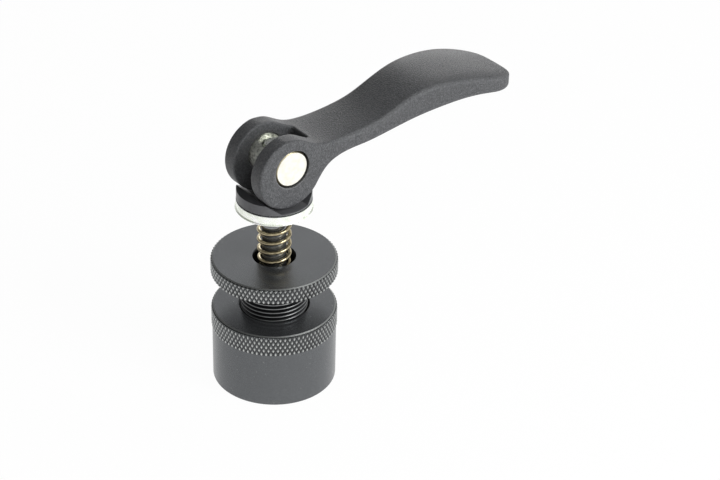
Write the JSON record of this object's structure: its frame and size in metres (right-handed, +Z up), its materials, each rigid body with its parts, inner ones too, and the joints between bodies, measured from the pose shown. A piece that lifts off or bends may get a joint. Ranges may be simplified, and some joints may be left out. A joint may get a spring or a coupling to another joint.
{
  "type": "cam lever clamp",
  "caption": "Cam lever clamp: a forked handle with eccentric cams draws a stud so that a washer presses work onto a knurled, height-adjustable collar screwed into a round base.",
  "frame": {"origin": "centre of the base's underside, at the mouth of its tapped hole", "axes": "+X along the closed handle, +Y along the barrel pin, +Z up along the stud, from the base towards the lever"},
  "size_m": [0.11, 0.041, 0.0931],
  "materials": {
    "blackened_steel": "turned steel, black oxide, satin",
    "dark_stud_steel": "hardened steel rod, black oxide, slightly glossy",
    "bright_steel": "turned bright steel",
    "spring_wire": "spring wire with a pale golden finish",
    "black_plastic": "moulded acetal, satin",
    "black_powder_coat": "die casting, black powder coat with a fine texture"
  },
  "bodies": {
    "base": {"base": "blackened_steel"},
    "spring_foot": {"spring": "spring_wire"},
    "collar": {"collar": "blackened_steel"},
    "head": {"stud": "dark_stud_steel", "barrel_pin": "bright_steel"},
    "pad": {"washer": "bright_steel", "thrust_pad": "black_plastic"},
    "lever": {"lever": "black_powder_coat"}
  },
  "joints": [
    {"name": "head_turn", "type": "hinge", "parent": "base", "child": "head", "pos_m": [0, 0, 0.0808], "axis": [0, 0, 1], "range_deg": [-180, 180]},
    {"name": "lever_pivot", "type": "hinge", "parent": "head", "child": "lever", "pos_m": [0, 0, 0.08075], "axis": [0, -1, 0], "range_deg": [0, 100]},
    {"name": "pad_lift", "type": "slide", "parent": "head", "child": "pad", "axis": [0, 0, 1], "range_m": [0, 0.0007]},
    {"name": "collar_travel", "type": "slide", "parent": "base", "child": "spring_foot", "axis": [0, 0, 1], "range_m": [-0.003, 0.004], "deforming": ["spring"]},
    {"name": "collar_turn", "type": "hinge", "parent": "spring_foot", "child": "collar", "pos_m": [0, 0, 0.0417], "axis": [0, 0, 1], "range_deg": [-720, 960]}
  ],
  "couplings": [
    {"joint": "pad_lift", "follows": "lever_pivot", "m_per_rad": 0.0004},
    {"joint": "collar_travel", "follows": "collar_turn", "m_per_rad": 0.00023873}
  ]
}
